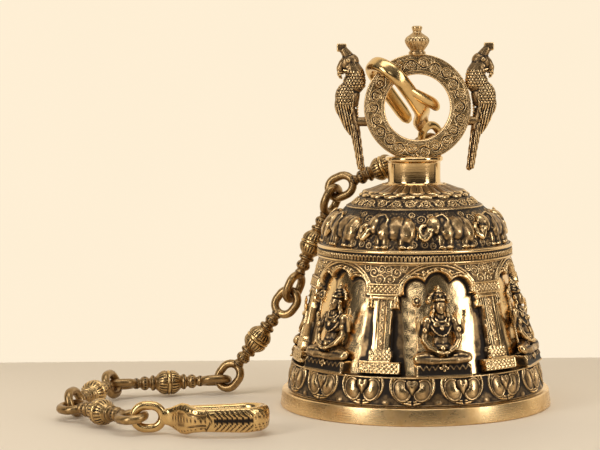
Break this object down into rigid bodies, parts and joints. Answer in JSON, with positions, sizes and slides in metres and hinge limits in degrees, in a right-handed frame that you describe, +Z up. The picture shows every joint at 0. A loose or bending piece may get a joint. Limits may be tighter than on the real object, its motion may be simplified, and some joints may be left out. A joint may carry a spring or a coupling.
{
  "type": "temple bell",
  "caption": "Cast brass hanging bell with relief figures, ring crown with birds, inner clapper and a chain of baluster links with a hook at each end.",
  "frame": {"origin": "centre of the rim's flat resting face", "axes": "+Z up the bell's axis, the crown ring lies in the XZ plane, the chain runs towards -X and lies towards -Y"},
  "size_m": [0.3669, 0.2426, 0.2842],
  "materials": {
    "bell_brass": "satin, dark patina in the hollows",
    "relief_brass": "antique, rubbed bright on the high spots",
    "polished_brass": "polished",
    "ring_brass": "antique, engraved",
    "bird_brass": "antique, engraved",
    "iron_parts": "dark, oiled",
    "clapper_brass": "satin",
    "chain_bronze": "antique bronze"
  },
  "bodies": {
    "bell": {"bell_shell": "bell_brass", "cornice": "bell_brass", "lotus_petals": "relief_brass", "niche_arches": "relief_brass", "pillars": "relief_brass", "seated_figures": "relief_brass", "elephants": "relief_brass", "crown_petals": "relief_brass", "neck_collar": "polished_brass", "crown_ring": "ring_brass", "finial": "ring_brass", "bird_left": "bird_brass", "bird_right": "bird_brass", "bird_lugs": "bird_brass", "clapper_staple": "iron_parts", "staple_nut": "iron_parts"},
    "clapper": {"clapper_rod": "iron_parts", "clapper_ball": "clapper_brass"},
    "hook_upper": {"hook_upper": "chain_bronze"},
    "chain_link_1": {"chain_link_1": "chain_bronze"},
    "chain_link_2": {"chain_link_2": "chain_bronze"},
    "chain_link_3": {"chain_link_3": "chain_bronze"},
    "chain_link_4": {"chain_link_4": "chain_bronze"},
    "chain_link_5": {"chain_link_5": "chain_bronze"},
    "chain_link_6": {"chain_link_6": "chain_bronze"},
    "hook_lower": {"hook_lower": "chain_bronze"}
  },
  "joints": [
    {"name": "clapper_swing", "type": "hinge", "parent": "bell", "child": "clapper", "pos_m": [0, 0, 0.132], "axis": [0, 1, 0], "range_deg": [-32, 32]},
    {"name": "hook_upper_swing", "type": "hinge", "parent": "bell", "child": "hook_upper", "pos_m": [-0.0185, 0, 0.2445], "axis": [0.7071, 0, 0.7071], "range_deg": [0, 10]},
    {"name": "link_1_swing", "type": "hinge", "parent": "hook_upper", "child": "chain_link_1", "pos_m": [0.02015, 0.03733, 0.19261], "axis": [0.6332, 0.3224, 0.7036], "range_deg": [0, 5]},
    {"name": "link_2_swing", "type": "hinge", "parent": "chain_link_1", "child": "chain_link_2", "pos_m": [-0.0577, 0.04648, 0.16028], "axis": [0.501, 0.8198, -0.2774], "range_deg": [0, 14]},
    {"name": "link_3_swing", "type": "hinge", "parent": "chain_link_2", "child": "chain_link_3", "pos_m": [-0.09531, 0.04052, 0.07477], "axis": [0.501, 0.8198, -0.2774], "range_deg": [-12, 14]},
    {"name": "link_4_swing", "type": "hinge", "parent": "chain_link_3", "child": "chain_link_4", "pos_m": [-0.14375, 0.04822, 0.01063], "axis": [-0.1988, 0.9354, -0.2924], "range_deg": [-16, 16]},
    {"name": "link_5_turn", "type": "hinge", "parent": "chain_link_4", "child": "chain_link_5", "pos_m": [-0.22911, 0.03071, 0.01266], "axis": [-0.3333, 0.0785, 0.9395], "range_deg": [-30, 10]},
    {"name": "link_6_turn", "type": "hinge", "parent": "chain_link_5", "child": "chain_link_6", "pos_m": [-0.25491, -0.05925, 0.01103], "axis": [-0.3333, 0.0785, 0.9395], "range_deg": [-30, 6]},
    {"name": "hook_lower_turn", "type": "hinge", "parent": "chain_link_6", "child": "hook_lower", "pos_m": [-0.20318, -0.12055, 0.01244], "axis": [0, 0, 1], "range_deg": [-30, 20]}
  ]
}
